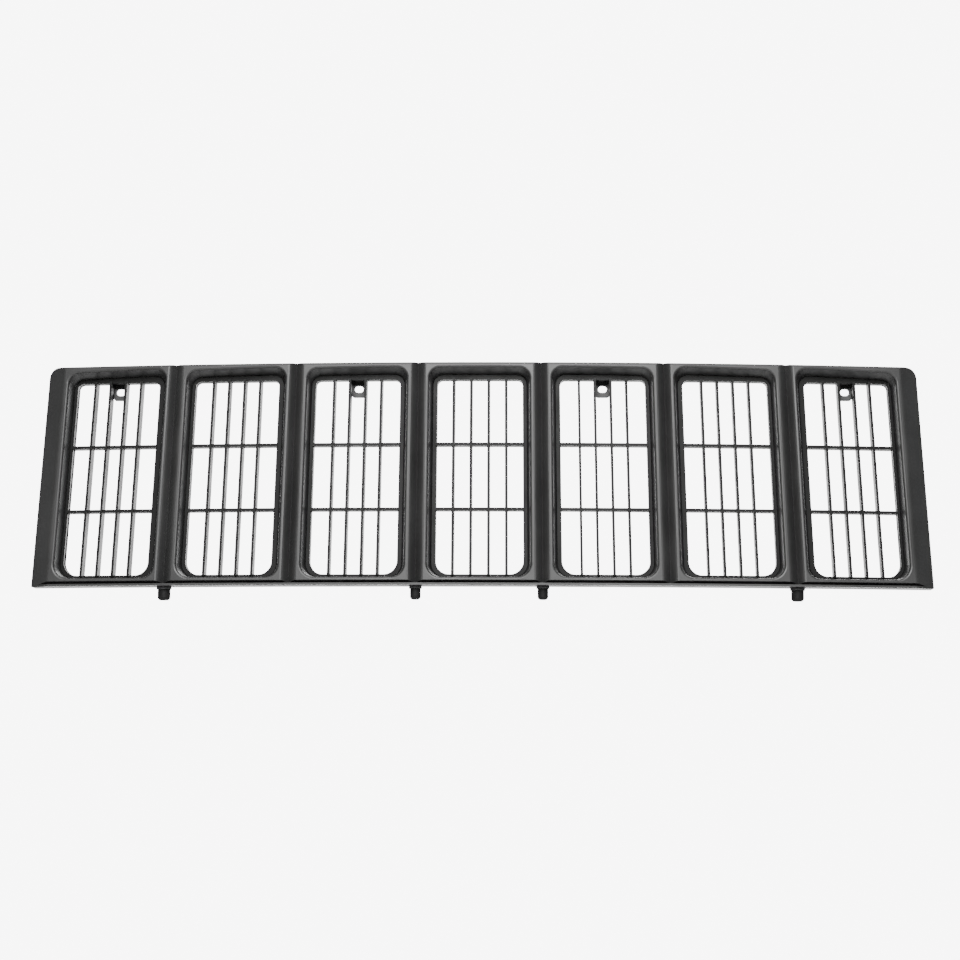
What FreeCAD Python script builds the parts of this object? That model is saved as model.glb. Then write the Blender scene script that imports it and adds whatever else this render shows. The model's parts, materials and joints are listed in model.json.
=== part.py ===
import FreeCAD, Part
import math
import os

import Sketcher

# Front grille of an off-road vehicle: a moulded surround with seven tall openings, a louvre insert in
# each, four tabs behind the top rail and four rubber-capped locating pins under the bottom flange.
#
# Frame: +X along the width, +Y backwards into the vehicle, +Z up. The origin is on the underside of the
# bottom flange, on the centreline. The grille bows: every layer of it lies on a cylinder about one
# upright axis behind it, so a depth is measured along Y from the bowed front surface. It also fans: every
# upright line leans so that widths shrink evenly from the bottom to the top.

doc = FreeCAD.newDocument("front_grille")


# ---------------------------------------------------------------- dimensions

DRIVING = (
    ("overall_width", 942.0, "width at the bottom edge"),
    ("top_width", 908.0, "width at the top edge"),
    ("overall_height", 230.0, "bottom flange to top edge"),
    ("bow_depth", 45.0, "how far the ends are swept back"),
    ("frame_depth", 34.0, "front surface to rear edge of the surround"),
    ("front_setback", 17.0, "origin to front surface, on the centreline"),
    ("wall", 2.6, "moulded wall of the surround"),
    ("flange_thickness", 2.2, "bottom flange"),
    ("end_margin", 11.5, "last cell line to the end of the surround"),
    ("end_slope_depth", 14.0, "how far the end slopes fall back"),
    ("top_corner_radius", 11.0, "upper outer corners"),
    ("bottom_corner_radius", 1.5, "lower outer corners"),
    ("groove_width", 12.4, "V-groove between two rims"),
    ("groove_depth", 7.5, "V-groove depth"),
    ("rim_width", 5.4, "flat of a rim before it is rounded"),
    ("rim_round", 2.3, "rounding of the rim edges"),
    ("top_edge_round", 2.6, "rounding of the top front edge"),
    ("top_rim", 5.4, "top edge to front opening"),
    ("bottom_rim", 8.2, "bottom flange to front opening"),
    ("ledge_height", 5.2, "where the front falls back to the flange"),
    ("ledge_depth", 7.0, "how far it falls back"),
    ("side_draft", 5.2, "how much a side reveal closes in"),
    ("top_draft", 7.4, "how much the top reveal closes in"),
    ("bottom_draft", 1.2, "how much the bottom reveal closes in"),
    ("upper_radius", 11.0, "upper opening corners"),
    ("lower_radius", 14.0, "lower opening corners"),
    ("insert_gap", 0.4, "insert rim to reveal"),
    ("insert_rim", 2.4, "insert rim at the rear"),
    ("insert_flange", 2.6, "insert flange thickness"),
    ("seat_cut", 0.6, "flat seat sunk into a screw ear"),
    ("window_radius", 5.5, "upper corners of an insert's window"),
    ("rim_recess", 22.0, "depth of the insert rim's front"),
    ("bar_recess", 20.0, "depth of the cross bars' front"),
    ("blade_recess", 17.0, "depth of the blades' front"),
    ("blade_thickness", 2.6, "upright blade"),
    ("bar_thickness", 3.0, "cross bar"),
    ("blade_spacing", 16.6, "between blades, outer inserts"),
    ("centre_blade_spacing", 18.3, "between blades, middle insert"),
    ("ear_inset", 7.2, "cell line to insert screw"),
    ("ear_radius", 4.6, "screw ear of an insert"),
    ("ear_low", 58.0, "lower insert screws above the flange"),
    ("ear_high", 168.0, "upper insert screws above the flange"),
    ("boss_radius", 3.4, "screw boss"),
    ("boss_start", 7.5, "depth where a boss starts"),
    ("screw_radius", 1.5, "self-tapping screw"),
    ("screw_fit", 0.05, "screw to pilot hole, and to the hole it passes"),
    ("screw_length", 10.0, "under the head"),
    ("screw_head_radius", 2.9, "screw head"),
    ("screw_head_height", 2.0, "screw head"),
    ("tab_clearance", 2.2, "insert flange to tab"),
    ("tab_thickness", 3.0, "tab plate"),
    ("tab_width", 15.0, "hanging part of a tab"),
    ("tab_foot_width", 36.0, "fixed part of a tab"),
    ("tab_foot_top", 3.0, "top edge to tab"),
    ("tab_drop", 32.0, "top edge to tab's lower end"),
    ("tab_hole_drop", 23.2, "top edge to tab hole"),
    ("tab_slot_length", 9.0, "tab hole, end to end"),
    ("tab_slot_width", 7.0, "tab hole"),
    ("tab_screw_spacing", 24.0, "two screws of a tab"),
    ("tab_boss_length", 16.0, "post behind the top rail"),
    ("tab_screw_length", 13.0, "under the head"),
    ("tab_round", 3.0, "lower corners of a tab"),
    ("tab_inner_round", 1.2, "other corners of a tab"),
    ("pin_depth", 17.0, "front surface to pin axis"),
    ("outer_pin_radius", 6.6, "outer isolators"),
    ("inner_pin_radius", 5.5, "inner isolators"),
    ("pin_core_radius", 3.4, "moulded core of a pin"),
    ("pin_length", 14.5, "flange to pin end"),
    ("pin_collar", 3.0, "collar under the flange"),
    ("pin_collar_extra", 1.2, "collar wider than isolator"),
    ("pin_head_radius", 5.2, "snap head above the flange"),
    ("pin_head_height", 2.2, "snap head above the flange"),
    ("pin_neck_gap", 0.1, "pin neck to its hole"),
    ("pin_seat", 0.6, "collar sunk into the underside of the flange"),
    ("pin_seat_gap", 0.3, "collar to the rim of its seat"),
    ("isolator_floor", 2.8, "rubber below the core"),
    ("isolator_fit", 0.05, "rubber to core"),
    ("isolator_round", 3.4, "rounded end of an isolator"),
)

sheet = doc.addObject("Spreadsheet::Sheet", "Sheet")
for row, (alias, value, note) in enumerate(DRIVING, start=1):
    sheet.set(f"A{row}", note)
    sheet.set(f"B{row}", str(value))
    sheet.setAlias(f"B{row}", alias)

CELLS = 7
BLADES = 4
BARS = 2
TAB_CELLS = (0, 2, 4, 6)
PIN_LINES = (1, 3, 4, 6)

# Sizes that follow from the driving ones.
DERIVED = (
    ("mid_width", "(<<Sheet>>.overall_width + <<Sheet>>.top_width) / 2"),
    ("pitch", f"(mid_width - 2 * <<Sheet>>.end_margin) / {CELLS}"),
    ("fan", "(<<Sheet>>.overall_width - <<Sheet>>.top_width) / <<Sheet>>.overall_height / mid_width"),
    ("half_width", "<<Sheet>>.overall_width / 2"),
    ("bow_radius", "(half_width ^ 2 + <<Sheet>>.bow_depth ^ 2) / (2 * <<Sheet>>.bow_depth)"),
    ("axis_y", "bow_radius - <<Sheet>>.front_setback"),
    ("front_half", "(pitch - <<Sheet>>.groove_width) / 2 - <<Sheet>>.rim_width"),
    ("rear_half", "front_half - <<Sheet>>.side_draft"),
    ("front_top", "<<Sheet>>.overall_height - <<Sheet>>.top_rim"),
    ("rear_top", "front_top - <<Sheet>>.top_draft"),
    ("rear_bottom", "<<Sheet>>.bottom_rim + <<Sheet>>.bottom_draft"),
    ("insert_half", "rear_half - <<Sheet>>.insert_gap - <<Sheet>>.insert_rim"),
    ("insert_top", "rear_top - <<Sheet>>.insert_gap - <<Sheet>>.insert_rim"),
    ("insert_bottom", "rear_bottom + <<Sheet>>.insert_gap + <<Sheet>>.insert_rim"),
    ("insert_back", "<<Sheet>>.frame_depth + <<Sheet>>.insert_flange"),
    ("pilot_radius", "<<Sheet>>.screw_radius + <<Sheet>>.screw_fit"),
    ("ceiling", "<<Sheet>>.overall_height - <<Sheet>>.wall"),
    ("tab_depth", "insert_back + <<Sheet>>.tab_clearance"),
    ("tab_top", "<<Sheet>>.overall_height - <<Sheet>>.tab_foot_top"),
    ("tab_foot_bottom", "rear_top + <<Sheet>>.wall + <<Sheet>>.insert_gap"),
    ("lead", "<<Sheet>>.frame_depth / 2"),
    ("reach", "<<Sheet>>.bow_depth + 3 * <<Sheet>>.frame_depth"),
    ("overall_span", "half_width + reach"),
)

layout = doc.addObject("Spreadsheet::Sheet", "Layout")
for row, (alias, formula) in enumerate(DERIVED, start=1):
    layout.set(f"A{row}", "=" + formula)
    layout.setAlias(f"A{row}", alias)
doc.recompute()


def s(alias):
    return f"<<Sheet>>.{alias}"


def d(alias):
    return f"<<Layout>>.{alias}"


def number(expression):
    return float(layout.evalExpression(expression))


# ---------------------------------------------------------------- the fan and the bow, as expressions

def fanned(x, z):
    """An x given at mid-height, carried along its leaning line to the height z."""
    return f"(({x}) * (1 + {d('fan')} * ({s('overall_height')} / 2 - ({z}))))"


def bowed(x, depth):
    """The y of a point at x that lies this deep behind the bowed front surface."""
    return f"({d('axis_y')} - sqrt({d('bow_radius')} ^ 2 - ({x}) ^ 2) + ({depth}))"


def cell_centre(index):
    return f"({index - (CELLS - 1) / 2} * {d('pitch')})"


def cell_line(index):
    """The line between cell index - 1 and cell index; 0 and CELLS are the two ends."""
    return f"({index - CELLS / 2} * {d('pitch')})"


# ---------------------------------------------------------------- sketches and features

def new_body(label):
    body = doc.addObject("PartDesign::Body", label)
    body.Label = label
    return body


def new_sketch(body, name, plane, offset):
    """A sketch on one of the body's own origin planes, moved along the plane's normal."""
    sketch = body.newObject("Sketcher::SketchObject", name)
    planes = {feature.Role: feature for feature in body.Origin.OriginFeatures}
    sketch.AttachmentSupport = (planes[plane], [""])
    sketch.MapMode = "FlatFace"
    sketch.setExpression("AttachmentOffset.Base.z", offset)
    return sketch


def bind(sketch, kind, *rest):
    """Adds a dimension whose last argument is an expression."""
    *where, expression = rest
    index = sketch.addConstraint(Sketcher.Constraint(kind, *where, number(expression)))
    sketch.setExpression(f"Constraints[{index}]", expression)


def place_point(sketch, geometry, end, x, y):
    bind(sketch, "DistanceX", -1, 1, geometry, end, x)
    bind(sketch, "DistanceY", -1, 1, geometry, end, y)


def polygon(sketch, corners, construction=False):
    """Straight sides through corners given as pairs of expressions."""
    points = [FreeCAD.Vector(number(x), number(y), 0) for x, y in corners]
    count = len(points)
    first = sketch.GeometryCount
    for index in range(count):
        side = Part.LineSegment(points[index], points[(index + 1) % count])
        sketch.addGeometry(side, construction)
    for index in range(count):
        after = (index + 1) % count
        sketch.addConstraint(Sketcher.Constraint("Coincident", first + index, 2, first + after, 1))
    for index, (x, y) in enumerate(corners):
        place_point(sketch, first + index, 1, x, y)


def circle(sketch, x, y, radius):
    centre = FreeCAD.Vector(number(x), number(y), 0)
    shape = Part.Circle(centre, FreeCAD.Vector(0, 0, 1), number(radius))
    index = sketch.addGeometry(shape, False)
    place_point(sketch, index, 3, x, y)
    bind(sketch, "Radius", index, radius)


def rounded_polygon(sketch, corners, radii):
    """A polygon with an arc at each corner, held by a construction polygon through the sharp corners."""
    count = len(corners)
    frame = sketch.GeometryCount
    polygon(sketch, corners, construction=True)
    sharp = [FreeCAD.Vector(number(x), number(y), 0) for x, y in corners]
    starts, ends, arcs = [], [], []
    for index in range(count):
        before = (sharp[index - 1] - sharp[index]).normalize()
        after = (sharp[(index + 1) % count] - sharp[index]).normalize()
        radius = number(radii[index])
        half_turn = before.getAngle(after) / 2
        reach = radius / math.tan(half_turn)
        bisector = (before + after).normalize()
        start = sharp[index] + before * reach
        end = sharp[index] + after * reach
        centre = sharp[index] + bisector * (start - sharp[index]).Length / abs(before.dot(bisector))
        middle = centre - bisector * radius
        starts.append(start)
        ends.append(end)
        arcs.append(Part.Arc(start, middle, end))
    lines = [
        sketch.addGeometry(Part.LineSegment(ends[index], starts[(index + 1) % count]), False)
        for index in range(count)
    ]
    rounds = [sketch.addGeometry(arc, False) for arc in arcs]
    for index in range(count):
        line, before, after = lines[index], rounds[index], rounds[(index + 1) % count]
        end_before = nearest_end(sketch, before, ends[index])
        end_after = nearest_end(sketch, after, starts[(index + 1) % count])
        sketch.addConstraint(Sketcher.Constraint("Tangent", line, 1, before, end_before))
        sketch.addConstraint(Sketcher.Constraint("Tangent", line, 2, after, end_after))
        sketch.addConstraint(Sketcher.Constraint("PointOnObject", line, 1, frame + index))
        sketch.addConstraint(Sketcher.Constraint("PointOnObject", line, 2, frame + index))
        bind(sketch, "Radius", before, radii[index])


def nearest_end(sketch, geometry, point):
    near_start = (sketch.getPoint(geometry, 1) - point).Length
    near_end = (sketch.getPoint(geometry, 2) - point).Length
    return 1 if near_start < near_end else 2


def rounded_cell(sketch, index, half, bottom, top, upper=None):
    """The fanned outline of one cell's opening, with its upper and lower corner radii."""
    corners = []
    for z, side in ((bottom, "-"), (bottom, "+"), (top, "+"), (top, "-")):
        corners.append((fanned(f"{cell_centre(index)} {side} ({half})", z), z))
    upper = upper or s("upper_radius")
    rounded_polygon(sketch, corners, [s("lower_radius"), s("lower_radius"), upper, upper])


def front_sketch(body, name, y):
    """A sketch seen from the front, at this y; the plane's normal points forwards."""
    return new_sketch(body, name, "XZ_Plane", f"-({y})")


def level_sketch(body, name, z):
    """A sketch seen from above, at this height."""
    return new_sketch(body, name, "XY_Plane", z)


def section_sketch(body, name):
    """A sketch on the centre plane whose upright axis is the axis of the bow."""
    sketch = new_sketch(body, name, "YZ_Plane", "0")
    sketch.setExpression("AttachmentOffset.Base.x", d("axis_y"))
    return sketch


def extrude(body, kind, sketch, length, backwards=True):
    """A Pad or Pocket from the sketch, backwards for a front sketch unless told otherwise."""
    feature = body.newObject(f"PartDesign::{kind}", f"{sketch.Name}_{kind.lower()}")
    feature.Profile = sketch
    feature.setExpression("Length", length)
    feature.Reversed = backwards if kind == "Pad" else not backwards
    sketch.Visibility = False
    return feature


def loft(body, kind, first, second):
    feature = body.newObject(f"PartDesign::{kind}Loft", f"{first.Name}_loft")
    feature.Profile = first
    feature.Sections = [second]
    feature.Ruled = True
    return feature


def bow_cut(body, name, corners, half_span=None):
    """Cuts a section, given as (depth, z) pairs, all along the bow or out to half_span each side."""
    sketch = section_sketch(body, name)
    polygon(sketch, [(f"({depth}) - {d('bow_radius')}", z) for depth, z in corners])
    feature = body.newObject("PartDesign::Groove", f"{name}_groove")
    feature.Profile = sketch
    feature.ReferenceAxis = (sketch, ["V_Axis"])
    feature.Midplane = True
    feature.setExpression("Angle", f"2 * asin(({half_span or d('overall_span')}) / {d('bow_radius')})")
    return feature


def trim(body, name, near, far):
    """Cuts away everything between two depths behind the bowed front surface."""
    low = f"-{d('reach')}"
    high = f"{s('overall_height')} + {d('reach')}"
    return bow_cut(body, name, ((near, low), (far, low), (far, high), (near, high)))


def front_trim(body, name, depth):
    return trim(body, name, f"-{d('reach')}", depth)


def back_trim(body, name, depth):
    return trim(body, name, depth, d("reach"))


# ---------------------------------------------------------------- the reveals, as functions of depth

def drafted(start, change, depth):
    return f"({start} + {change} * ({depth}) / {s('frame_depth')})"


def half_at(depth):
    return drafted(d("front_half"), f"-{s('side_draft')}", depth)


def bottom_at(depth):
    return drafted(s("bottom_rim"), s("bottom_draft"), depth)


def top_at(depth):
    return drafted(d("front_top"), f"-{s('top_draft')}", depth)


# ---------------------------------------------------------------- surround

def surround_block(body):
    sketch = front_sketch(body, "outline", f"-{d('lead')} - {s('front_setback')}")
    corners = []
    for z, side in (("0", -1), ("0", 1), (s("overall_height"), 1), (s("overall_height"), -1)):
        corners.append((fanned(f"{side} * {d('mid_width')} / 2", z), z))
    lower, upper = s("bottom_corner_radius"), s("top_corner_radius")
    rounded_polygon(sketch, corners, [lower, lower, upper, upper])
    extrude(body, "Pad", sketch, d("reach"))
    front_trim(body, "front_surface", "0")


def upright_cut(body, name, corners, low, high):
    """Cuts a fanned upright channel whose section is given as (x, depth) pairs."""
    levels = []
    for end, z in (("low", low), ("high", high)):
        sketch = level_sketch(body, f"{name}_{end}", z)
        polygon(sketch, [(fanned(x, z), bowed(fanned(x, z), depth)) for x, depth in corners])
        levels.append(sketch)
    loft(body, "Subtractive", *levels)


def eased(corner, run, fall):
    """Points of a rounded shoulder where a face, level up to the corner, then falls away towards +X."""
    return [
        (f"{corner} - {run}", "0"),
        (f"{corner} - {run} / 3", f"{fall} * {run} / 9"),
        (f"{corner} + {run} / 3", f"{fall} * {run} * 4 / 9"),
        (f"{corner} + {run}", f"{fall} * {run}"),
    ]


def surround_grooves(body):
    half = f"({s('groove_width')} / 2)"
    fall = f"({s('groove_depth')} / {half})"
    above = f"{s('overall_height')} + {s('wall')}"
    shoulder = eased(f"(-{half})", s("rim_round"), fall)
    outside = (shoulder[0][0], f"-{d('lead')}")
    for index in range(1, CELLS):
        line = cell_line(index)
        falling = [outside] + shoulder
        rising = [(f"-({x})", depth) for x, depth in reversed(falling)]
        corners = [(f"{line} + {x}", depth) for x, depth in falling + [("0", s("groove_depth"))] + rising]
        upright_cut(body, f"groove_{index}", corners, s("flange_thickness"), above)


def surround_ends(body):
    above = f"{s('overall_height')} + {s('wall')}"
    run = f"({s('groove_width')} / 2 + {s('end_margin')})"
    fall = f"({s('end_slope_depth')} / {run})"
    start = f"({d('mid_width')} / 2 - {run})"
    edge = f"({d('mid_width')} / 2 + {s('wall')})"
    shoulder = eased(start, s("rim_round"), fall)
    for name, side in (("left", "-"), ("right", "")):
        corners = [(shoulder[0][0], f"-{d('lead')}")] + shoulder
        corners += [(edge, f"{fall} * ({run} + {s('wall')})"), (edge, f"-{d('lead')}")]
        corners = [(f"{side}({x})", depth) for x, depth in corners]
        upright_cut(body, f"end_slope_{name}", corners, f"-{s('wall')}", above)


def surround_ledge(body):
    slope = f"({s('ledge_height')} - {s('flange_thickness')}) / {s('ledge_depth')}"
    corners = (
        (f"-{d('lead')}", s("flange_thickness")),
        (s("ledge_depth"), s("flange_thickness")),
        (f"-{d('lead')}", f"{s('ledge_height')} + {slope} * {d('lead')}"),
    )
    bow_cut(body, "ledge", corners)


def surround_openings(body):
    for index in range(CELLS):
        ends = []
        for end, depth in (("front", f"-{d('lead')}"), ("rear", f"{s('frame_depth')} + {d('lead')}")):
            name = f"opening_{index + 1}_{end}"
            sketch = front_sketch(body, name, bowed(cell_centre(index), depth))
            rounded_cell(sketch, index, half_at(depth), bottom_at(depth), top_at(depth))
            ends.append(sketch)
        loft(body, "Subtractive", *ends)


def channel_half(depth):
    """Half the width of the hollow between two neighbouring reveals."""
    return f"({d('pitch')} / 2 - {half_at(depth)} - {s('wall')})"


def surround_cavities(body):
    """Hollows the surround from behind, leaving one wall thickness round every reveal."""
    rear = f"({s('frame_depth')} + {d('lead')})"
    wall = s("wall")
    low, high = f"({s('bottom_rim')} - {wall})", d("front_top")
    half_groove = f"({s('groove_width')} / 2)"
    skin = f"({wall} * sqrt({half_groove} ^ 2 + {s('groove_depth')} ^ 2) / {half_groove})"
    peak = f"({s('groove_depth')} + {skin})"
    shoulder = f"(({peak} - {wall}) * {half_groove} / {s('groove_depth')})"
    for index in range(1, CELLS):
        line = cell_line(index)
        corners = (
            (f"{line} - {channel_half(rear)}", rear),
            (f"{line} - {channel_half(wall)}", wall),
            (f"{line} - {shoulder}", wall),
            (line, peak),
            (f"{line} + {shoulder}", wall),
            (f"{line} + {channel_half(wall)}", wall),
            (f"{line} + {channel_half(rear)}", rear),
        )
        upright_cut(body, f"channel_{index}", corners, low, high)

    run = f"({half_groove} + {s('end_margin')})"
    fall = f"({s('end_slope_depth')} / {run})"
    end_skin = f"({wall} * sqrt(1 + {fall} ^ 2))"
    end_line = cell_line(CELLS)
    inner = f"({d('mid_width')} / 2 - {wall})"
    start = f"({d('mid_width')} / 2 - {run})"
    end_corners = (
        (f"{end_line} - {channel_half(rear)}", rear),
        (f"{end_line} - {channel_half(wall)}", wall),
        (f"{start} + ({wall} - {end_skin}) / {fall}", wall),
        (inner, f"{fall} * ({inner} - {start}) + {end_skin}"),
        (inner, rear),
    )
    below_corner = f"{s('overall_height')} - {s('top_corner_radius')}"
    for name, side in (("left", "-"), ("right", "")):
        corners = [(f"{side}({x})", depth) for x, depth in end_corners]
        upright_cut(body, f"channel_{name}", corners, low, below_corner)

    top_half = fanned(f"{d('mid_width')} / 2", s("overall_height"))
    top_corners = (
        (peak, f"{top_at(peak)} + {wall}"),
        (peak, d("ceiling")),
        (rear, d("ceiling")),
        (rear, f"{top_at(rear)} + {wall}"),
    )
    bow_cut(body, "top_channel", top_corners, f"{top_half} - {s('top_corner_radius')} - {wall}")

    behind_ledge = f"({s('ledge_depth')} + {wall})"
    bottom_corners = (
        (behind_ledge, s("flange_thickness")),
        (rear, s("flange_thickness")),
        (rear, f"{bottom_at(rear)} - {wall}"),
        (behind_ledge, f"{bottom_at(behind_ledge)} - {wall}"),
    )
    bow_cut(body, "bottom_channel", bottom_corners, f"{d('half_width')} - {wall} - {s('end_margin')}")


def line_screws(line):
    """The screw places on both sides of one cell line, or on its inner side at the two ends."""
    sides = {0: "+", CELLS: "-"}.get(line, "-+")
    places = []
    for z in (s("ear_low"), s("ear_high")):
        for side in sides:
            places.append((fanned(f"{cell_line(line)} {side} {s('ear_inset')}", z), z))
    return places


def tab_centre(index, drop):
    return fanned(cell_centre(index), f"{s('overall_height')} - {drop}")


def tab_front(index):
    return bowed(tab_centre(index, s("tab_hole_drop")), d("tab_depth"))


def tab_screw_places(index):
    x = tab_centre(index, s("tab_hole_drop"))
    z = f"(({d('tab_top')} + {d('tab_foot_bottom')}) / 2)"
    return [(f"{x} {side} {s('tab_screw_spacing')} / 2", z) for side in "-+"]


def ring(sketch, x, z, outer, inner):
    circle(sketch, x, z, outer)
    circle(sketch, x, z, inner)


def surround_bosses(body):
    """Hollow posts for the insert screws, then the rear edge, then the longer posts for the tab screws."""
    middle_height = f"{s('overall_height')} / 2"
    for line in range(CELLS // 2 + 1):
        x = fanned(cell_line(line), middle_height)
        sketch = front_sketch(body, f"bosses_{line}", bowed(x, s("boss_start")))
        for mirrored in (line, CELLS - line):
            for x, z in line_screws(mirrored):
                ring(sketch, x, z, s("boss_radius"), d("pilot_radius"))
        extrude(body, "Pad", sketch, s("frame_depth"))
    back_trim(body, "boss_ends", s("frame_depth"))
    for pair in (TAB_CELLS[::3], TAB_CELLS[1:3]):
        start = f"({tab_front(pair[0])} - {s('tab_boss_length')})"
        sketch = front_sketch(body, f"tab_bosses_{pair[0]}", start)
        for index in pair:
            for x, z in tab_screw_places(index):
                ring(sketch, x, z, s("boss_radius"), d("pilot_radius"))
        extrude(body, "Pad", sketch, s("tab_boss_length"))


def isolator_radius(line):
    outermost = line in (PIN_LINES[0], PIN_LINES[-1])
    return s("outer_pin_radius") if outermost else s("inner_pin_radius")


def collar_radius(line):
    return f"({isolator_radius(line)} + {s('pin_collar_extra')})"


def surround_pin_seats(body):
    """A shallow round seat for each pin's collar in the underside of the flange, and a hole for its neck."""
    seats = level_sketch(body, "pin_seats", "0")
    holes = level_sketch(body, "pin_holes", "0")
    for line in PIN_LINES:
        x = fanned(cell_line(line), "0")
        y = bowed(x, s("pin_depth"))
        circle(seats, x, y, f"{collar_radius(line)} + {s('pin_seat_gap')}")
        circle(holes, x, y, f"{s('pin_core_radius')} + {s('pin_neck_gap')}")
    extrude(body, "Pocket", seats, s("pin_seat"), backwards=False)
    extrude(body, "Pocket", holes, f"2 * {s('flange_thickness')}", backwards=False)


def edges_of(shape, wanted):
    return [f"Edge{place}" for place, edge in enumerate(shape.Edges, start=1) if wanted(edge)]


def round_edges(body, name, wanted, radius):
    """Fillets the edges of the body's latest shape that a test picks out."""
    doc.recompute()
    base = body.Tip
    names = edges_of(base.Shape, wanted)
    feature = body.newObject("PartDesign::Fillet", name)
    feature.Base = (base, names)
    feature.setExpression("Radius", radius)
    return feature


def depth_of(point):
    """How deep a point lies behind the bowed front surface."""
    axis = FreeCAD.Vector(0, number(d("axis_y")), point.z)
    return number(d("bow_radius")) - (point - axis).Length


def samples(edge):
    return [edge.valueAt(edge.FirstParameter + share * (edge.LastParameter - edge.FirstParameter))
            for share in (0.0, 0.5, 1.0)]


def in_front_surface(edge):
    return all(abs(depth_of(point)) < 0.01 for point in samples(edge))


def middle(edge):
    return samples(edge)[1]


def round_top(body):
    """Rounds the top front edge with three facets."""
    top, radius = s("overall_height"), s("top_edge_round")
    shallow, steep = (f"{radius} * (1 - {share})" for share in (0.5, 0.866))
    corners = (
        (f"-{d('lead')}", f"{top} - {radius}"),
        ("0", f"{top} - {radius}"),
        (steep, f"{top} - {shallow}"),
        (shallow, f"{top} - {steep}"),
        (radius, top),
        (radius, f"{top} + {radius}"),
        (f"-{d('lead')}", f"{top} + {radius}"),
    )
    bow_cut(body, "top_edge", corners)


def round_rims(body):
    """Rounds the rims where they turn into the reveals."""
    low = number(f"({s('ledge_height')} + {s('bottom_rim')}) / 2")
    high = number(s("overall_height"))

    def round_opening(edge):
        place = middle(edge)
        return in_front_surface(edge) and low < place.z < high and edge.Length < high - low - 1

    round_edges(body, "opening_rims", round_opening, s("rim_round"))


# ---------------------------------------------------------------- louvre inserts

def insert_outline(body, index, wide):
    """The insert's rear flange with its screw ears, lying on the surround's rear edge."""
    centre = cell_centre(index)
    front = bowed(centre, s("frame_depth"))
    sketch = front_sketch(body, f"flange_{index}", f"{front} - {d('lead')}")
    half = f"({d('rear_half')} + {s('wall')})"
    rounded_cell(sketch, index, half, f"{d('rear_bottom')} - {s('wall')}", f"{d('rear_top')} + {s('wall')}")
    extrude(body, "Pad", sketch, wide)
    places = cell_screws(index)
    for pair in (places[:2], places[2:]):
        (left, z), (right, z) = pair
        name = f"ears_{index}_{places.index(pair[0])}"
        strip = front_sketch(body, name, f"{front} - {d('lead')}")
        radius = s("ear_radius")
        corners = (
            (left, f"{z} - {radius}"),
            (right, f"{z} - {radius}"),
            (right, f"{z} + {radius}"),
            (left, f"{z} + {radius}"),
        )
        polygon(strip, corners)
        extrude(body, "Pad", strip, wide)
    ends = front_sketch(body, f"ear_ends_{index}", f"{front} - {d('lead')}")
    for x, z in places:
        circle(ends, x, z, s("ear_radius"))
    extrude(body, "Pad", ends, wide)
    front_trim(body, f"flange_front_{index}", s("frame_depth"))


def cell_screws(index):
    """The four screw places of one cell, the lower pair first, each from left to right."""
    places = []
    for z in (s("ear_low"), s("ear_high")):
        places.append((fanned(f"{cell_line(index)} + {s('ear_inset')}", z), z))
        places.append((fanned(f"{cell_line(index + 1)} - {s('ear_inset')}", z), z))
    return places


def insert_rim(body, index):
    """The tray wall that follows the reveal, and the clear window through it."""
    ends = []
    gap = s("insert_gap")
    for end, depth in (("front", f"({s('rim_recess')} - {d('lead')})"), ("rear", d("insert_back"))):
        sketch = front_sketch(body, f"rim_{end}_{index}", bowed(cell_centre(index), depth))
        outer = f"({half_at(depth)} - {gap})"
        rounded_cell(sketch, index, outer, f"{bottom_at(depth)} + {gap}", f"{top_at(depth)} - {gap}")
        ends.append(sketch)
    loft(body, "Additive", *ends)
    front_trim(body, f"rim_recess_{index}", s("rim_recess"))
    start = f"({bowed(cell_centre(index), s('rim_recess'))} - {d('lead')})"
    window = front_sketch(body, f"window_{index}", start)
    outline = (d("insert_half"), d("insert_bottom"), d("insert_top"))
    rounded_cell(window, index, *outline, upper=s("window_radius"))
    extrude(body, "Pocket", window, d("reach"))


def insert_grid(body, index, wide):
    """Two cross bars, then four upright blades that stand further forward."""
    centre = cell_centre(index)
    start = f"({bowed(centre, s('rim_recess'))} - {d('lead')})"
    root = f"({s('insert_rim')} / 2)"
    half = f"({d('insert_half')} + {root})"
    bars = front_sketch(body, f"bars_{index}", start)
    for bar in range(1, BARS + 1):
        z = f"({d('insert_bottom')} + ({d('insert_top')} - {d('insert_bottom')}) * {bar} / {BARS + 1})"
        corners = []
        for side, edge in (("-", "-"), ("+", "-"), ("+", "+"), ("-", "+")):
            level = f"{z} {edge} {s('bar_thickness')} / 2"
            corners.append((fanned(f"{centre} {side} {half}", level), level))
        polygon(bars, corners)
    extrude(body, "Pad", bars, wide)
    front_trim(body, f"bar_recess_{index}", s("bar_recess"))
    spacing = s("centre_blade_spacing") if index == CELLS // 2 else s("blade_spacing")
    blades = front_sketch(body, f"blades_{index}", start)
    for blade in range(BLADES):
        x = f"{centre} + {blade - (BLADES - 1) / 2} * {spacing}"
        corners = []
        low, high = f"{d('insert_bottom')} - {root}", f"{d('insert_top')} + {root}"
        for side, level in (("-", low), ("+", low), ("+", high), ("-", high)):
            corners.append((f"{fanned(x, level)} {side} {s('blade_thickness')} / 2", level))
        polygon(blades, corners)
    extrude(body, "Pad", blades, wide)
    front_trim(body, f"blade_recess_{index}", s("blade_recess"))
    back_trim(body, f"insert_back_{index}", d("insert_back"))


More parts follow.
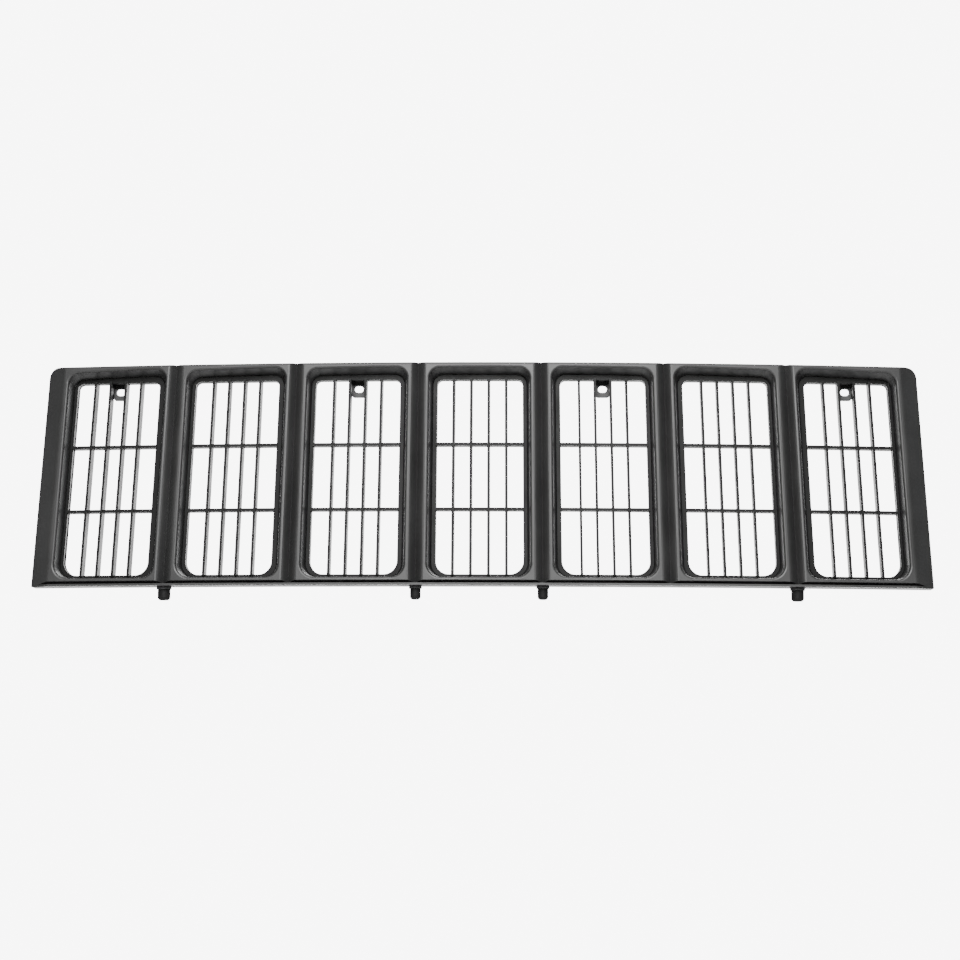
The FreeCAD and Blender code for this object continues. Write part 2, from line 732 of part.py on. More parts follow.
def insert_screw_seats(body, index):
    """A screw hole and a flat seat in each ear."""
    for corner, (x, z) in enumerate(cell_screws(index), start=1):
        seat = front_sketch(body, f"seat_{index}_{corner}", screw_seat(x))
        circle(seat, x, z, f"{s('screw_head_radius')} + {s('insert_gap')}")
        extrude(body, "Pocket", seat, d("lead"))
        hole = front_sketch(body, f"hole_{index}_{corner}", f"{screw_seat(x)} - {d('lead')}")
        circle(hole, x, z, d("pilot_radius"))
        extrude(body, "Pocket", hole, d("reach"))


def screw_seat(x):
    """The y of the flat face that a screw head presses on, at this x."""
    return bowed(x, f"{d('insert_back')} - {s('seat_cut')}")


def louvre_insert(index):
    body = new_body(f"louvre_insert_{index + 1}")
    wide = f"({s('bow_depth')} + 2 * {d('lead')})"
    insert_outline(body, index, wide)
    insert_rim(body, index)
    insert_grid(body, index, wide)
    insert_screw_seats(body, index)
    return body


# ---------------------------------------------------------------- tabs, pins and screws

def mounting_tab(index, position):
    """A tee-shaped plate: a foot across the top rail, and a hanging tongue with a slotted hole."""
    body = new_body(f"mounting_tab_{position}")
    front = tab_front(index)
    centre = tab_centre(index, s("tab_hole_drop"))
    plate = front_sketch(body, f"plate_{index}", front)
    foot, tongue = f"({s('tab_foot_width')} / 2)", f"({s('tab_width')} / 2)"
    low = f"({s('overall_height')} - {s('tab_drop')})"
    outline = (
        (f"{centre} - {tongue}", low),
        (f"{centre} + {tongue}", low),
        (f"{centre} + {tongue}", d("tab_foot_bottom")),
        (f"{centre} + {foot}", d("tab_foot_bottom")),
        (f"{centre} + {foot}", d("tab_top")),
        (f"{centre} - {foot}", d("tab_top")),
        (f"{centre} - {foot}", d("tab_foot_bottom")),
        (f"{centre} - {tongue}", d("tab_foot_bottom")),
    )
    large, small = s("tab_round"), s("tab_inner_round")
    rounded_polygon(plate, outline, [large, large, small, small, small, small, small, small])
    extrude(body, "Pad", plate, s("tab_thickness"))
    slot = front_sketch(body, f"slot_{index}", f"{front} - {d('lead')}")
    level = f"({s('overall_height')} - {s('tab_hole_drop')})"
    rounded_slot(slot, centre, level, s("tab_slot_length"), s("tab_slot_width"))
    extrude(body, "Pocket", slot, d("reach"))
    holes = front_sketch(body, f"tab_holes_{index}", f"{front} - {d('lead')}")
    for x, z in tab_screw_places(index):
        circle(holes, x, z, d("pilot_radius"))
    extrude(body, "Pocket", holes, d("reach"))
    return body


def rounded_slot(sketch, x, z, length, width):
    """A level slot with round ends, centred on a point."""
    half, radius = number(f"({length} - {width}) / 2"), number(f"{width} / 2")
    middle_point = FreeCAD.Vector(number(x), number(z), 0)
    left, right = (middle_point + FreeCAD.Vector(side * half, 0, 0) for side in (-1, 1))
    up = FreeCAD.Vector(0, radius, 0)
    outward = FreeCAD.Vector(radius, 0, 0)
    upper = sketch.addGeometry(Part.LineSegment(left + up, right + up), False)
    lower = sketch.addGeometry(Part.LineSegment(left - up, right - up), False)
    right_end = sketch.addGeometry(Part.Arc(right + up, right + outward, right - up), False)
    left_end = sketch.addGeometry(Part.Arc(left + up, left - outward, left - up), False)
    for line, end, arc, point in (
        (upper, 2, right_end, right + up),
        (lower, 2, right_end, right - up),
        (upper, 1, left_end, left + up),
        (lower, 1, left_end, left - up),
    ):
        corner = nearest_end(sketch, arc, point)
        sketch.addConstraint(Sketcher.Constraint("Tangent", line, end, arc, corner))
    place_point(sketch, left_end, 3, f"{x} - ({length} - {width}) / 2", z)
    place_point(sketch, right_end, 3, f"{x} + ({length} - {width}) / 2", z)
    bind(sketch, "Radius", right_end, f"{width} / 2")


def turned(body, name, profile):
    """A solid of revolution about the body's own upright axis, from (radius, height) pairs."""
    sketch = new_sketch(body, name, "XZ_Plane", "0")
    polygon(sketch, profile)
    feature = body.newObject("PartDesign::Revolution", f"{name}_turned")
    feature.Profile = sketch
    feature.ReferenceAxis = (sketch, ["V_Axis"])
    feature.Angle = 360
    return feature


def move_under_line(body, line):
    x = fanned(cell_line(line), "0")
    body.setExpression("Placement.Base.x", x)
    body.setExpression("Placement.Base.y", bowed(x, s("pin_depth")))


def locating_pin(line, position):
    """A collar seated in the flange, a core below it and a snap head above it."""
    body = new_body(f"locating_pin_{position}")
    core, collar, wide = s("pin_core_radius"), s("pin_collar"), collar_radius(line)
    core_end = f"({s('isolator_floor')} - {s('pin_length')})"
    head = f"({s('flange_thickness')} + {s('pin_neck_gap')})"
    profile = (
        ("0", core_end),
        (core, core_end),
        (core, f"-{collar}"),
        (wide, f"-{collar}"),
        (wide, f"-{collar} / 2"),
        (f"{wide} - {collar} / 4", s("pin_seat")),
        (core, s("pin_seat")),
        (core, head),
        (s("pin_head_radius"), head),
        (core, f"{head} + {s('pin_head_height')}"),
        ("0", f"{head} + {s('pin_head_height')}"),
    )
    turned(body, f"pin_profile_{line}", profile)
    move_under_line(body, line)
    return body


def pin_isolator(line, position):
    """A rubber cap with a blunt rounded end, pushed over the core of a pin."""
    body = new_body(f"pin_isolator_{position}")
    radius, end = isolator_radius(line), f"(-{s('pin_length')})"
    bore = f"({s('pin_core_radius')} + {s('isolator_fit')})"
    bore_end = f"({s('isolator_floor')} - {s('pin_length')} - {s('isolator_fit')})"
    mouth = f"(-{s('pin_collar')} - {s('isolator_fit')})"
    profile = (
        ("0", end),
        (radius, end),
        (radius, mouth),
        (bore, mouth),
        (bore, bore_end),
        ("0", bore_end),
    )
    turned(body, f"isolator_profile_{line}", profile)
    lowest, outer = number(end), number(radius)

    def at_the_tip(edge):
        first = samples(edge)[0]
        around = abs(math.hypot(first.x, first.y) - outer) < 0.01
        return around and abs(middle(edge).z - lowest) < 0.01 and edge.Length > outer

    round_edges(body, f"tip_{line}", at_the_tip, s("isolator_round"))
    move_under_line(body, line)
    return body


def screw_shape(length):
    """One pan-head screw: its head's seat is at the origin and it points forwards, along -Y."""
    radius, head_radius = number(s("screw_radius")), number(s("screw_head_radius"))
    head_height = number(s("screw_head_height"))
    forwards = FreeCAD.Vector(0, -1, 0)
    seat = FreeCAD.Vector(0, 0, 0)
    back = FreeCAD.Vector(0, head_height, 0)
    tip = FreeCAD.Vector(0, -length, 0)
    shank = Part.makeCylinder(radius, length, seat, forwards)
    point = Part.makeCone(radius, radius / 3, radius, tip, forwards)
    head = Part.makeCone(head_radius * 0.75, head_radius, head_height, back, forwards)
    recess = Part.makeBox(head_radius, head_height / 2, radius / 2)
    recess.translate(FreeCAD.Vector(-head_radius / 2, head_height / 2, -radius / 4))
    crossed = recess.copy()
    crossed.rotate(seat, FreeCAD.Vector(0, 1, 0), 90)
    return shank.fuse([point, head]).cut([recess, crossed]).removeSplitter()


def screw_group(label, places, length):
    """Identical screws as separate solids of one sub-part, at (x, y, z) places."""
    group = doc.addObject("Part::Feature", label)
    group.Label = label
    screw = screw_shape(length)
    copies = []
    for x, y, z in places:
        copy = screw.copy()
        copy.translate(FreeCAD.Vector(number(x), number(y), number(z)))
        copies.append(copy)
    group.Shape = Part.makeCompound(copies)
    return group


def surround():
    body = new_body("surround_frame")
    surround_block(body)
    surround_ends(body)
    surround_ledge(body)
    surround_grooves(body)
    back_trim(body, "rear_edge", s("frame_depth"))
    surround_openings(body)
    round_rims(body)
    round_top(body)
    surround_cavities(body)
    surround_bosses(body)
    surround_pin_seats(body)
    return body


def build():
    parts = [surround()]
    parts += [louvre_insert(index) for index in range(CELLS)]
    parts += [mounting_tab(index, position) for position, index in enumerate(TAB_CELLS, start=1)]
    parts += [locating_pin(line, position) for position, line in enumerate(PIN_LINES, start=1)]
    parts += [pin_isolator(line, position) for position, line in enumerate(PIN_LINES, start=1)]
    insert_places = [(x, screw_seat(x), z) for index in range(CELLS) for x, z in cell_screws(index)]
    parts.append(screw_group("insert_screws", insert_places, number(s("screw_length"))))
    tab_places = []
    for index in TAB_CELLS:
        back = f"({tab_front(index)} + {s('tab_thickness')})"
        tab_places += [(x, back, z) for x, z in tab_screw_places(index)]
    parts.append(screw_group("tab_screws", tab_places, number(s("tab_screw_length"))))
    doc.recompute()
    return parts


def check_and_write(parts):
    for item in doc.Objects:
        if "Invalid" in item.State or "Error" in item.State:
            raise RuntimeError(f"{item.Name} failed: {item.State}")
    for part in parts:
        if part.Shape.isNull() or not part.Shape.isValid():
            raise RuntimeError(f"{part.Label} has no valid shape")
    os.makedirs("parts", exist_ok=True)
    for part in parts:
        part.Shape.exportStep(f"parts/{part.Label}.step")
        print(part.Label, round(part.Shape.Volume), len(part.Shape.Solids))


check_and_write(build())
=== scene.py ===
import json
import math
import bmesh
import bpy
from mathutils import Matrix, Vector
from mathutils.bvhtree import BVHTree


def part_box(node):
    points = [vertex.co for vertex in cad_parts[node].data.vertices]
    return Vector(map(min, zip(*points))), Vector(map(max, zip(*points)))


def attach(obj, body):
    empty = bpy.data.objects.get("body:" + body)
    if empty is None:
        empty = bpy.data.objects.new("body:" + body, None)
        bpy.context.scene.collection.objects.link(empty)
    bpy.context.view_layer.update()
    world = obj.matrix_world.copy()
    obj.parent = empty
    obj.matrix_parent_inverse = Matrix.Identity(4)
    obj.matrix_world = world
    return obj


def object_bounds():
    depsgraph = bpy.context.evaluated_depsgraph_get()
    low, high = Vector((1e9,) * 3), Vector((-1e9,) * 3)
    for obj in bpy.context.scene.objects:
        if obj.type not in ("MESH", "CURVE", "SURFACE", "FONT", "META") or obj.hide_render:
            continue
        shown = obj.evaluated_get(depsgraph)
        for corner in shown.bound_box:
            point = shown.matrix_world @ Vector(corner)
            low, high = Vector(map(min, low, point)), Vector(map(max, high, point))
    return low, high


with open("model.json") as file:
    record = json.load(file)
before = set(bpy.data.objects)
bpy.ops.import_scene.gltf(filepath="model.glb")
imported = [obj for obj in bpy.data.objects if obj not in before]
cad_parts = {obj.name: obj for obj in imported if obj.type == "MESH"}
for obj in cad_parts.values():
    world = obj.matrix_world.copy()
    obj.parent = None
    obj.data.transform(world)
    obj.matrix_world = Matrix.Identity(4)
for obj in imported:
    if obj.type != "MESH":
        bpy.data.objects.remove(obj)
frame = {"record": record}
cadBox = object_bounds()
record = frame["record"]
millimetre = 0.001


def srgbToLinear(channel):
    return channel / 12.92 if channel <= 0.04045 else ((channel + 0.055) / 1.055) ** 2.4


def colour(hexText):
    # "#rrggbb" to the linear RGBA that a shader socket takes
    channels = [int(hexText[start:start + 2], 16) / 255 for start in (1, 3, 5)]
    return (*[srgbToLinear(channel) for channel in channels], 1.0)


def newMaterial(name):
    material = bpy.data.materials.new(name)
    material.use_nodes = True
    tree = material.node_tree
    shader = next(node for node in tree.nodes if node.type == "BSDF_PRINCIPLED")
    return material, tree, shader


def addNode(tree, kind, inputs=None, **settings):
    # one node, with its settings, and each input either linked or set
    node = tree.nodes.new(kind)
    for name, value in settings.items():
        setattr(node, name, value)
    for name, value in (inputs or {}).items():
        if isinstance(value, bpy.types.NodeSocket):
            tree.links.new(value, node.inputs[name])
        else:
            node.inputs[name].default_value = value
    return node


edgeSamples = 6
flatEnough, sharpEnough = 0.995, 0.8  # likeness of the two normals where wear starts and is full


def edgeWear(tree, radiusMm):
    # 0 on flat stretches, up to 1 on corners: the angle between the rounded and the true normal
    rounded = addNode(
        tree, "ShaderNodeBevel", {"Radius": radiusMm * millimetre}, samples=edgeSamples
    ).outputs["Normal"]
    true = addNode(tree, "ShaderNodeNewGeometry").outputs["Normal"]
    alike = addNode(
        tree, "ShaderNodeVectorMath", {0: rounded, 1: true}, operation="DOT_PRODUCT"
    ).outputs["Value"]
    return addNode(tree, "ShaderNodeMapRange", {
        "Value": alike, "From Min": flatEnough, "From Max": sharpEnough, "To Min": 0.0, "To Max": 1.0,
    }).outputs["Result"]


# the two colours of a Mix node set to RGBA, and its result
mixFirst, mixSecond, mixResult = 6, 7, 2
noiseRoughness = 0.55

surroundLook = {
    "base": "#141414",
    "worn": "#333333",
    "faded": "#1b1b1b",
    "grainMm": 0.35,  # the real grain is nearer 0.1 mm; drawn coarser so that it shows
    "grainDepthMm": 0.03,
    "grainStrength": 0.6,
    "patchMm": 60.0,
    "edgeMm": 1.2,
    "edgeShare": 0.55,
    "roughness": (0.40, 0.54),
}


def surroundMaterial():
    # injection-moulded ABS, satin black: a fine spark-eroded grain, with edges that are slightly
    # polished by handling and wide patches that have faded a little
    look = surroundLook
    material, tree, shader = newMaterial("satinBlackAbs")
    place = addNode(tree, "ShaderNodeTexCoord").outputs["Object"]
    patches = addNode(tree, "ShaderNodeTexNoise", {
        "Vector": place,
        "Scale": 1 / (look["patchMm"] * millimetre),
        "Detail": 4.0,
        "Roughness": noiseRoughness,
    }).outputs["Fac"]
    grain = addNode(tree, "ShaderNodeTexNoise", {
        "Vector": place,
        "Scale": 1 / (look["grainMm"] * millimetre),
        "Detail": 2.0,
        "Roughness": noiseRoughness,
    }).outputs["Fac"]
    fading = addNode(tree, "ShaderNodeMapRange", {
        "Value": patches, "From Min": 0.35, "From Max": 0.7, "To Min": 0.0, "To Max": 1.0,
    }).outputs["Result"]
    base = addNode(tree, "ShaderNodeMix", {
        "Factor": fading, mixFirst: colour(look["base"]), mixSecond: colour(look["faded"]),
    }, data_type="RGBA").outputs[mixResult]
    polish = addNode(tree, "ShaderNodeMapRange", {
        "Value": edgeWear(tree, look["edgeMm"]),
        "From Min": 0.0, "From Max": 1.0, "To Min": 0.0, "To Max": look["edgeShare"],
    }).outputs["Result"]
    shade = addNode(tree, "ShaderNodeMix", {
        "Factor": polish, mixFirst: base, mixSecond: colour(look["worn"]),
    }, data_type="RGBA").outputs[mixResult]
    smoothest, roughest = look["roughness"]
    rough = addNode(tree, "ShaderNodeMapRange", {
        "Value": patches, "From Min": 0.3, "From Max": 0.7, "To Min": smoothest, "To Max": roughest,
    }).outputs["Result"]
    bump = addNode(tree, "ShaderNodeBump", {
        "Height": grain,
        "Distance": look["grainDepthMm"] * millimetre,
        "Strength": look["grainStrength"],
    }).outputs["Normal"]
    tree.links.new(shade, shader.inputs["Base Color"])
    tree.links.new(rough, shader.inputs["Roughness"])
    tree.links.new(bump, shader.inputs["Normal"])
    return material


louvreLook = {
    "base": "#0e0e0e",
    "worn": "#242424",
    "grainMm": 0.5,  # the real grain is nearer 0.1 mm; drawn coarser so that it shows
    "grainDepthMm": 0.03,
    "grainStrength": 0.5,
    "flowMm": 35.0,
    "edgeMm": 0.5,
    "edgeShare": 0.5,
    "roughness": (0.46, 0.6),
    "specular": 0.15,
}


def louvreMaterial():
    # moulded polypropylene, matt black: it hardly shines, and the flow of the melt leaves soft
    # patches that are a little smoother
    look = louvreLook
    material, tree, shader = newMaterial("mattBlackPolypropylene")
    place = addNode(tree, "ShaderNodeTexCoord").outputs["Object"]
    flow = addNode(tree, "ShaderNodeTexNoise", {
        "Vector": place,
        "Scale": 1 / (look["flowMm"] * millimetre),
        "Detail": 5.0,
        "Roughness": noiseRoughness,
    }).outputs["Fac"]
    grain = addNode(tree, "ShaderNodeTexNoise", {
        "Vector": place,
        "Scale": 1 / (look["grainMm"] * millimetre),
        "Detail": 2.0,
        "Roughness": noiseRoughness,
    }).outputs["Fac"]
    polish = addNode(tree, "ShaderNodeMapRange", {
        "Value": edgeWear(tree, look["edgeMm"]),
        "From Min": 0.0, "From Max": 1.0, "To Min": 0.0, "To Max": look["edgeShare"],
    }).outputs["Result"]
    shade = addNode(tree, "ShaderNodeMix", {
        "Factor": polish, mixFirst: colour(look["base"]), mixSecond: colour(look["worn"]),
    }, data_type="RGBA").outputs[mixResult]
    smoothest, roughest = look["roughness"]
    rough = addNode(tree, "ShaderNodeMapRange", {
        "Value": flow, "From Min": 0.3, "From Max": 0.7, "To Min": smoothest, "To Max": roughest,
    }).outputs["Result"]
    bump = addNode(tree, "ShaderNodeBump", {
        "Height": grain,
        "Distance": look["grainDepthMm"] * millimetre,
        "Strength": look["grainStrength"],
    }).outputs["Normal"]
    tree.links.new(shade, shader.inputs["Base Color"])
    tree.links.new(rough, shader.inputs["Roughness"])
    tree.links.new(bump, shader.inputs["Normal"])
    shader.inputs["Specular IOR Level"].default_value = look["specular"]
    return material


tabLook = {
    "base": "#101010",
    "fibre": "#242424",
    "fibreMm": 0.8,  # real fibres are about 0.3 mm long; drawn coarser so that they show
    "squeeze": (1.0, 1.0, 5.0),  # fibres lie flat, so the pattern is closer together upwards
    "fibreShare": 0.6,
    "fibreDepthMm": 0.02,
    "fibreStrength": 0.5,
    "roughness": (0.38, 0.55),
    "specular": 0.3,
}


def tabMaterial():
    # glass-filled nylon, black: short pale fibres show just under the skin
    look = tabLook
    material, tree, shader = newMaterial("glassFilledNylon")
    place = addNode(tree, "ShaderNodeTexCoord").outputs["Object"]
    squeezed = addNode(
        tree, "ShaderNodeMapping", {"Vector": place, "Scale": look["squeeze"]}
    ).outputs["Vector"]
    fibres = addNode(tree, "ShaderNodeTexNoise", {
        "Vector": squeezed,
        "Scale": 1 / (look["fibreMm"] * millimetre),
        "Detail": 4.0,
        "Roughness": 0.7,
    }).outputs["Fac"]
    showing = addNode(tree, "ShaderNodeMapRange", {
        "Value": fibres, "From Min": 0.55, "From Max": 0.75, "To Min": 0.0, "To Max": look["fibreShare"],
    }).outputs["Result"]
    shade = addNode(tree, "ShaderNodeMix", {
        "Factor": showing, mixFirst: colour(look["base"]), mixSecond: colour(look["fibre"]),
    }, data_type="RGBA").outputs[mixResult]
    smoothest, roughest = look["roughness"]
    rough = addNode(tree, "ShaderNodeMapRange", {
        "Value": fibres, "From Min": 0.3, "From Max": 0.7, "To Min": smoothest, "To Max": roughest,
    }).outputs["Result"]
    bump = addNode(tree, "ShaderNodeBump", {
        "Height": fibres,
        "Distance": look["fibreDepthMm"] * millimetre,
        "Strength": look["fibreStrength"],
    }).outputs["Normal"]
    tree.links.new(shade, shader.inputs["Base Color"])
    tree.links.new(rough, shader.inputs["Roughness"])
    tree.links.new(bump, shader.inputs["Normal"])
    shader.inputs["Specular IOR Level"].default_value = look["specular"]
    return material


pinLook = {
    "dark": "#2c2c2d",
    "pale": "#383839",
    "cloudMm": 6.0,
    "grainMm": 0.4,
    "grainDepthMm": 0.01,
    "grainStrength": 0.4,
    "roughness": 0.36,
}


def pinMaterial():
    # moulded acetal, dark grey: smooth and waxy, with faint clouding
    look = pinLook
    material, tree, shader = newMaterial("greyAcetal")
    place = addNode(tree, "ShaderNodeTexCoord").outputs["Object"]
    clouds = addNode(tree, "ShaderNodeTexNoise", {
        "Vector": place,
        "Scale": 1 / (look["cloudMm"] * millimetre),
        "Detail": 3.0,
        "Roughness": noiseRoughness,
    }).outputs["Fac"]
    grain = addNode(tree, "ShaderNodeTexNoise", {
        "Vector": place,
        "Scale": 1 / (look["grainMm"] * millimetre),
        "Detail": 3.0,
        "Roughness": noiseRoughness,
    }).outputs["Fac"]
    clouding = addNode(tree, "ShaderNodeMapRange", {
        "Value": clouds, "From Min": 0.3, "From Max": 0.7, "To Min": 0.0, "To Max": 1.0,
    }).outputs["Result"]
    shade = addNode(tree, "ShaderNodeMix", {
        "Factor": clouding, mixFirst: colour(look["dark"]), mixSecond: colour(look["pale"]),
    }, data_type="RGBA").outputs[mixResult]
    bump = addNode(tree, "ShaderNodeBump", {
        "Height": grain,
        "Distance": look["grainDepthMm"] * millimetre,
        "Strength": look["grainStrength"],
    }).outputs["Normal"]
    tree.links.new(shade, shader.inputs["Base Color"])
    tree.links.new(bump, shader.inputs["Normal"])
    shader.inputs["Roughness"].default_value = look["roughness"]
    return material


isolatorLook = {
    "base": "#060606",
    "bloom": "#161616",
    "bloomMm": 5.0,
    "bloomShare": 0.5,
    "grainMm": 0.3,
    "grainDepthMm": 0.03,
    "grainStrength": 0.6,
    "roughness": (0.62, 0.8),
    "specular": 0.2,
}


def isolatorMaterial():
    # moulded EPDM rubber: near black and dull, with a dusty bloom in patches
    look = isolatorLook
    material, tree, shader = newMaterial("epdmRubber")
    place = addNode(tree, "ShaderNodeTexCoord").outputs["Object"]
    bloom = addNode(tree, "ShaderNodeTexNoise", {
        "Vector": place,
        "Scale": 1 / (look["bloomMm"] * millimetre),
        "Detail": 5.0,
        "Roughness": 0.65,
    }).outputs["Fac"]
    grain = addNode(tree, "ShaderNodeTexNoise", {
        "Vector": place,
        "Scale": 1 / (look["grainMm"] * millimetre),
        "Detail": 3.0,
        "Roughness": noiseRoughness,
    }).outputs["Fac"]
    dusty = addNode(tree, "ShaderNodeMapRange", {
        "Value": bloom, "From Min": 0.5, "From Max": 0.8, "To Min": 0.0, "To Max": look["bloomShare"],
    }).outputs["Result"]
    shade = addNode(tree, "ShaderNodeMix", {
        "Factor": dusty, mixFirst: colour(look["base"]), mixSecond: colour(look["bloom"]),
    }, data_type="RGBA").outputs[mixResult]
    smoothest, roughest = look["roughness"]
    rough = addNode(tree, "ShaderNodeMapRange", {
        "Value": bloom, "From Min": 0.3, "From Max": 0.7, "To Min": smoothest, "To Max": roughest,
    }).outputs["Result"]
    bump = addNode(tree, "ShaderNodeBump", {
        "Height": grain,
        "Distance": look["grainDepthMm"] * millimetre,
        "Strength": look["grainStrength"],
    }).outputs["Normal"]
    tree.links.new(shade, shader.inputs["Base Color"])
    tree.links.new(rough, shader.inputs["Roughness"])
    tree.links.new(bump, shader.inputs["Normal"])
    shader.inputs["Specular IOR Level"].default_value = look["specular"]
    return material


screwLook = {"grey": "#8d8f92", "straw": "#a9a595", "cloudMm": 2.5, "roughness": (0.3, 0.48)}


def screwMaterial():
    # zinc-plated steel, passivated: dull grey that clouds to straw
    look = screwLook
    material, tree, shader = newMaterial("zincPlatedSteel")
    place = addNode(tree, "ShaderNodeTexCoord").outputs["Object"]
    clouds = addNode(tree, "ShaderNodeTexNoise", {
        "Vector": place,
        "Scale": 1 / (look["cloudMm"] * millimetre),
        "Detail": 4.0,
        "Roughness": noiseRoughness,
    }).outputs["Fac"]
    clouding = addNode(tree, "ShaderNodeMapRange", {
        "Value": clouds, "From Min": 0.35, "From Max": 0.65, "To Min": 0.0, "To Max": 1.0,
    }).outputs["Result"]
    shade = addNode(tree, "ShaderNodeMix", {
        "Factor": clouding, mixFirst: colour(look["grey"]), mixSecond: colour(look["straw"]),
    }, data_type="RGBA").outputs[mixResult]
    smoothest, roughest = look["roughness"]
    rough = addNode(tree, "ShaderNodeMapRange", {
        "Value": clouds, "From Min": 0.3, "From Max": 0.7, "To Min": smoothest, "To Max": roughest,
    }).outputs["Result"]
    tree.links.new(shade, shader.inputs["Base Color"])
    tree.links.new(rough, shader.inputs["Roughness"])
    shader.inputs["Metallic"].default_value = 1.0
    return material


slotMaterials = {
    "surround": surroundMaterial(),
    "louvre": louvreMaterial(),
    "tab": tabMaterial(),
    "pin": pinMaterial(),
    "isolator": isolatorMaterial(),
    "screw": screwMaterial(),
}
slotOf = {entry["node"]: entry["material_slot"] for entry in record["subparts"]}
louvreInserts = [node for node, slot in slotOf.items() if slot == "louvre"]


def dressNodes():
    for node, slot in slotOf.items():
        nodeObject = bpy.data.objects[node]
        nodeObject.data.materials.clear()
        nodeObject.data.materials.append(slotMaterials[slot])


dressNodes()
print("stage: materials on", len(slotOf), "nodes")

# stiffening ribs across the hollow back of each upright
ribLook = {
    "heights": (0.032, 0.088, 0.113, 0.138, 0.196),  # clear of the screw posts
    "thickness": 0.0016,
    "flangeThickness": 0.0026,  # of the louvre insert that the rear edge meets
    "setIn": 0.0022,  # rear edge of the surround to the rib
    "bite": 0.0003,  # how far a rib runs into the walls it meets
    "wallGap": 0.0004,  # side wall to the first and last place where the front is felt for
    "reach": 0.08,  # how far a wall is looked for
    "bevel": 0.0003,
    "frontPoints": 9,
}


def wallHit(tree, start, direction):
    place, normal, index, distance = tree.ray_cast(start, Vector(direction), ribLook["reach"])
    return place


def ribOutline(tree, x, rear, z):
    # the hollow's section at this height: straight across the rear, following the skin in front
    look = ribLook
    start = Vector((x, rear, z))
    left, right = wallHit(tree, start, (-1, 0, 0)), wallHit(tree, start, (1, 0, 0))
    if left is None or right is None:
        return None
    outline = [Vector((left.x - look["bite"], rear, z))]
    width = right.x - left.x - 2 * look["wallGap"]
    for point in range(look["frontPoints"]):
        across = left.x + look["wallGap"] + width * point / (look["frontPoints"] - 1)
        hit = wallHit(tree, Vector((across, rear, z)), (0, -1, 0))
        if hit is None:
            return None
        outline.append(Vector((hit.x, hit.y - look["bite"], z)))
    outline.append(Vector((right.x + look["bite"], rear, z)))
    return outline


def addChannelRibs(tree, line):
    look = ribLook
    boxes = [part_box(f"louvre_insert_{insert}") for insert in (line, line + 1)]
    x = sum((low.x + high.x) / 2 for low, high in boxes) / 2
    rear = min(high.y for low, high in boxes) - look["flangeThickness"] - look["setIn"]
    shape = bmesh.new()
    for z in look["heights"]:
        outline = ribOutline(tree, x, rear, z)
        if outline is None:
            continue
        face = shape.faces.new([shape.verts.new(point) for point in outline])
        pulled = bmesh.ops.extrude_face_region(shape, geom=[face])["geom"]
        moved = [item for item in pulled if isinstance(item, bmesh.types.BMVert)]
        bmesh.ops.translate(shape, verts=moved, vec=(0, 0, look["thickness"]))
    bmesh.ops.recalc_face_normals(shape, faces=shape.faces)
    closeEnough = 0.001 * millimetre
    rearEdges = [
        edge for edge in shape.edges
        if all(abs(vert.co.y - rear) < closeEnough for vert in edge.verts)
    ]
    bmesh.ops.bevel(
        shape, geom=rearEdges, offset=look["bevel"], segments=2, profile=0.5, affect="EDGES", material=-1
    )
    name = f"channel_ribs_{line}"
    mesh = bpy.data.meshes.new(name)
    shape.to_mesh(mesh)
    shape.free()
    ribs = bpy.data.objects.new(name, mesh)
    bpy.context.scene.collection.objects.link(ribs)
    mesh.materials.append(slotMaterials["surround"])
    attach(ribs, "root")
    return len(mesh.polygons)


def addRibs():
    surround = bpy.data.objects["surround_frame"].data
    tree = BVHTree.FromPolygons(
        [vertex.co for vertex in surround.vertices], [face.vertices for face in surround.polygons]
    )
    for line in range(1, len(louvreInserts)):
        print("ribs between inserts", line, "and", line + 1, "faces", addChannelRibs(tree, line))


addRibs()
print("stage: ribs")

floorLook = {"colour": "#f4f4f4", "level": -1.2, "size": 14.0, "roughness": 0.9}


def addFloor():
    # matt background paper laid flat below the camera, pale and without shine; the part is held up
    # on a stand out of sight
    look = floorLook
    shape = bmesh.new()
    bmesh.ops.create_grid(shape, x_segments=1, y_segments=1, size=look["size"] / 2)
    bmesh.ops.translate(shape, verts=shape.verts, vec=(0, 0, look["level"]))
    mesh = bpy.data.meshes.new("studioFloor")
    shape.to_mesh(mesh)
    shape.free()
    floor = bpy.data.objects.new("studioFloor", mesh)
    bpy.context.scene.collection.objects.link(floor)
    material, tree, shader = newMaterial("palePaper")
    shader.inputs["Base Color"].default_value = colour(look["colour"])
    shader.inputs["Roughness"].default_value = look["roughness"]
    mesh.materials.append(material)


# the room's strength all round, and behind the part, where it fades between the two angles
worldLook = {"pale": "#ffffff", "around": 0.45, "backdrop": 8.0, "backdropAngle": 20.0, "fadeAngle": 32.0}


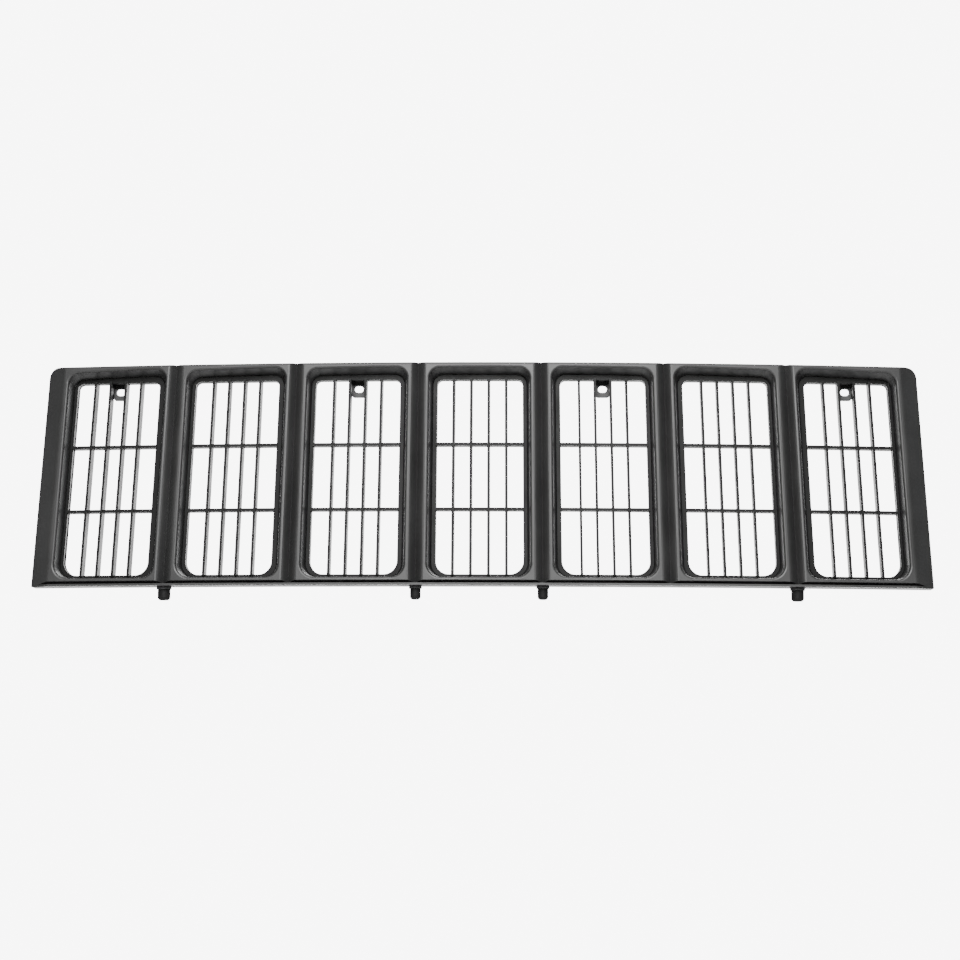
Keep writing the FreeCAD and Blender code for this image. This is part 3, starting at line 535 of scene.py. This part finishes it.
def addWorld():
    # an even pale room with a brightly lit backdrop behind the part
    look = worldLook
    world = bpy.data.worlds.new("studio")
    world.use_nodes = True
    tree = world.node_tree
    direction = addNode(tree, "ShaderNodeTexCoord").outputs["Generated"]
    backwards = addNode(tree, "ShaderNodeSeparateXYZ", {"Vector": direction}).outputs["Y"]
    fade, full = (math.cos(math.radians(look[name])) for name in ("fadeAngle", "backdropAngle"))
    strength = addNode(tree, "ShaderNodeMapRange", {
        "Value": backwards,
        "From Min": fade,
        "From Max": full,
        "To Min": look["around"],
        "To Max": look["backdrop"],
    }).outputs["Result"]
    background = tree.nodes["Background"]
    background.inputs["Color"].default_value = colour(look["pale"])
    tree.links.new(strength, background.inputs["Strength"])
    bpy.context.scene.world = world


# each softbox faces the middle of the part
softboxes = {
    "frontBox": {"place": (0.0, -3.0, 1.25), "width": 1.5, "height": 0.9, "power": 230},
    "rearBox": {"place": (0.9, 2.8, 2.0), "width": 1.6, "height": 1.2, "power": 60},
    "overheadBox": {"place": (0.0, -0.7, 2.5), "width": 2.4, "height": 0.9, "power": 60},
}


def addSoftboxes():
    middle = (Vector(cadBox[0]) + Vector(cadBox[1])) / 2
    for name, look in softboxes.items():
        lamp = bpy.data.lights.new(name, "AREA")
        lamp.shape = "RECTANGLE"
        lamp.size = look["width"]
        lamp.size_y = look["height"]
        lamp.energy = look["power"]
        holder = bpy.data.objects.new(name, lamp)
        holder.location = look["place"]
        holder.rotation_euler = (middle - holder.location).to_track_quat("-Z", "Y").to_euler()
        holder.visible_camera = False
        bpy.context.scene.collection.objects.link(holder)


# the camera stands about three metres in front, a little low and looking slightly up
cameraLook = {
    "distance": 2.9675,
    "sideways": 0.0940,
    "height": -0.1905,
    "turn": -0.0315,
    "tilt": 0.1006,
    "roll": 0.004,
    "lensMm": 108.46125,
    "sensorMm": 36.0,
    "farthest": 60.0,
}


def addCamera():
    look = cameraLook
    lens = bpy.data.cameras.new("frontCamera")
    lens.sensor_width = look["sensorMm"]
    lens.lens = look["lensMm"]
    lens.clip_end = look["farthest"]
    holder = bpy.data.objects.new("frontCamera", lens)
    turn, tilt = look["turn"], look["tilt"]
    forward = Vector((
        math.sin(turn) * math.cos(tilt),
        math.cos(turn) * math.cos(tilt),
        math.sin(tilt),
    ))
    aim = forward.to_track_quat("-Z", "Y").to_matrix()
    holder.matrix_world = (
        Matrix.Translation((look["sideways"], -look["distance"], look["height"]))
        @ (Matrix.Rotation(-look["roll"], 3, forward) @ aim).to_4x4()
    )
    bpy.context.scene.collection.objects.link(holder)
    bpy.context.scene.camera = holder


addFloor()
addWorld()
addSoftboxes()
addCamera()
print("stage: floor, lights and camera")
